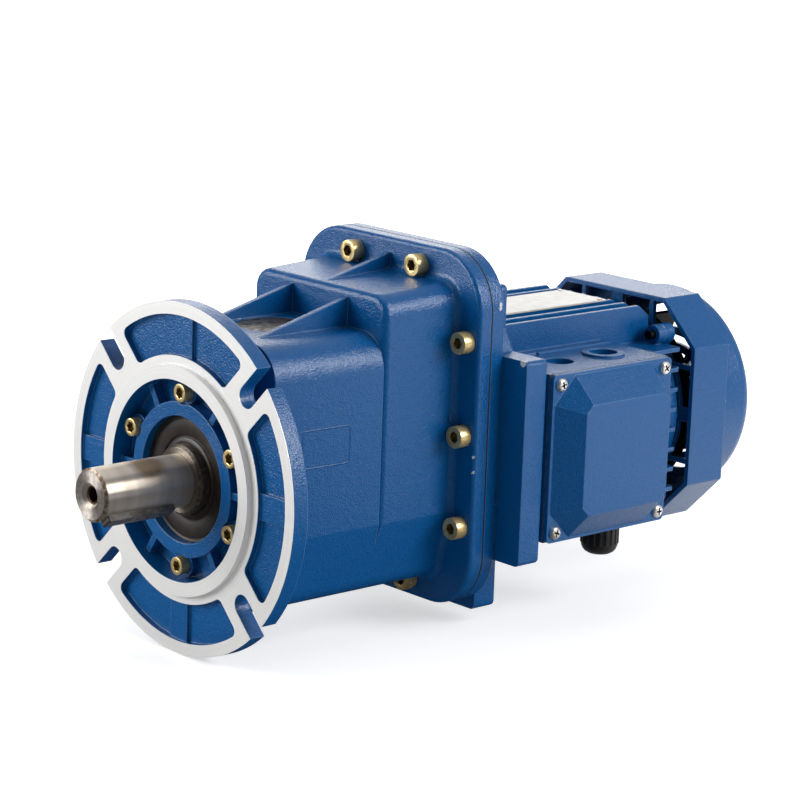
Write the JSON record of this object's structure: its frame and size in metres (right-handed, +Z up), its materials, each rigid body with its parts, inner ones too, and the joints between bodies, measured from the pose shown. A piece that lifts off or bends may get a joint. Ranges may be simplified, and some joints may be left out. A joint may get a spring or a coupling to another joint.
{
  "type": "helical gearmotor",
  "caption": "In-line helical gearbox with a round output flange and keyed shaft, driven by a flanged motor with fins, a terminal box and a rear fan cowl.",
  "frame": {"origin": "on the output shaft's axis, in the mounting face of the output flange", "axes": "+X along the output shaft, out of the flange; +Y towards the terminal box; +Z up"},
  "size_m": [0.464, 0.2141, 0.2237],
  "materials": {
    "black_plastic": "satin",
    "black_screw": "satin",
    "blue_paint": "satin",
    "brass": "satin",
    "copper_windings": "satin",
    "gasket_paper": "matte",
    "gear_steel": "satin",
    "key_steel": "matte",
    "laminated_steel": "matte",
    "machined_aluminium": "satin",
    "nickel_screw": "gloss",
    "painted_sheet": "satin",
    "plate_sheet": "satin",
    "polished_steel": "gloss",
    "seal_rubber": "satin",
    "terminal_plastic": "satin",
    "zinc_screw": "satin"
  },
  "bodies": {
    "gearmotor_case": {"output_flange": "machined_aluminium", "flange_screws": "zinc_screw", "gear_housing": "blue_paint", "core_plug": "polished_steel", "housing_screws": "zinc_screw", "cover_gasket": "gasket_paper", "input_cover": "blue_paint", "output_seal": "seal_rubber", "input_seal": "seal_rubber", "motor_frame": "blue_paint", "lid_gasket": "gasket_paper", "terminal_lid": "blue_paint", "lid_screws": "nickel_screw", "terminal_block": "terminal_plastic", "terminal_studs": "brass", "gland_body": "black_plastic", "gland_locknut": "black_plastic", "gland_nut": "black_plastic", "gland_seal": "seal_rubber", "stator_core": "laminated_steel", "stator_windings": "copper_windings", "front_motor_screws": "black_screw", "rear_motor_screws": "black_screw", "rear_shield": "blue_paint", "fan_cowl": "painted_sheet", "cowl_screws": "black_screw", "nameplate": "plate_sheet", "nameplate_rivets": "plate_sheet", "output_front_bearing_outer": "polished_steel", "output_rear_bearing_outer": "polished_steel", "intermediate_front_bearing_outer": "polished_steel", "intermediate_rear_bearing_outer": "polished_steel", "motor_front_bearing_outer": "polished_steel", "motor_rear_bearing_outer": "polished_steel"},
    "output": {"output_shaft": "polished_steel", "output_key": "key_steel", "output_gear": "gear_steel", "gear_key": "key_steel", "output_snap_ring": "black_screw", "output_front_bearing_inner": "polished_steel", "output_front_bearing_balls": "polished_steel", "output_rear_bearing_inner": "polished_steel", "output_rear_bearing_balls": "polished_steel"},
    "intermediate": {"intermediate_shaft": "gear_steel", "wheel_key": "key_steel", "intermediate_wheel": "gear_steel", "wheel_spacer": "gear_steel", "intermediate_front_bearing_inner": "polished_steel", "intermediate_front_bearing_balls": "polished_steel", "intermediate_rear_bearing_inner": "polished_steel", "intermediate_rear_bearing_balls": "polished_steel"},
    "rotor": {"motor_shaft": "polished_steel", "motor_pinion": "gear_steel", "rotor_core": "laminated_steel", "fan": "black_plastic", "motor_front_bearing_inner": "polished_steel", "motor_front_bearing_balls": "polished_steel", "motor_rear_bearing_inner": "polished_steel", "motor_rear_bearing_balls": "polished_steel"}
  },
  "joints": [
    {"name": "rotor_spin", "type": "hinge", "parent": "gearmotor_case", "child": "rotor", "pos_m": [0, 0, 0.005], "axis": [1, 0, 0], "continuous": true},
    {"name": "intermediate_spin", "type": "hinge", "parent": "gearmotor_case", "child": "intermediate", "pos_m": [0, 0, 0.057], "axis": [1, 0, 0], "continuous": true},
    {"name": "output_spin", "type": "hinge", "parent": "gearmotor_case", "child": "output", "pos_m": [0, 0, 0], "axis": [1, 0, 0], "continuous": true}
  ],
  "couplings": [
    {"joint": "intermediate_spin", "follows": "rotor_spin", "ratio": -0.36},
    {"joint": "output_spin", "follows": "rotor_spin", "ratio": 0.12}
  ]
}
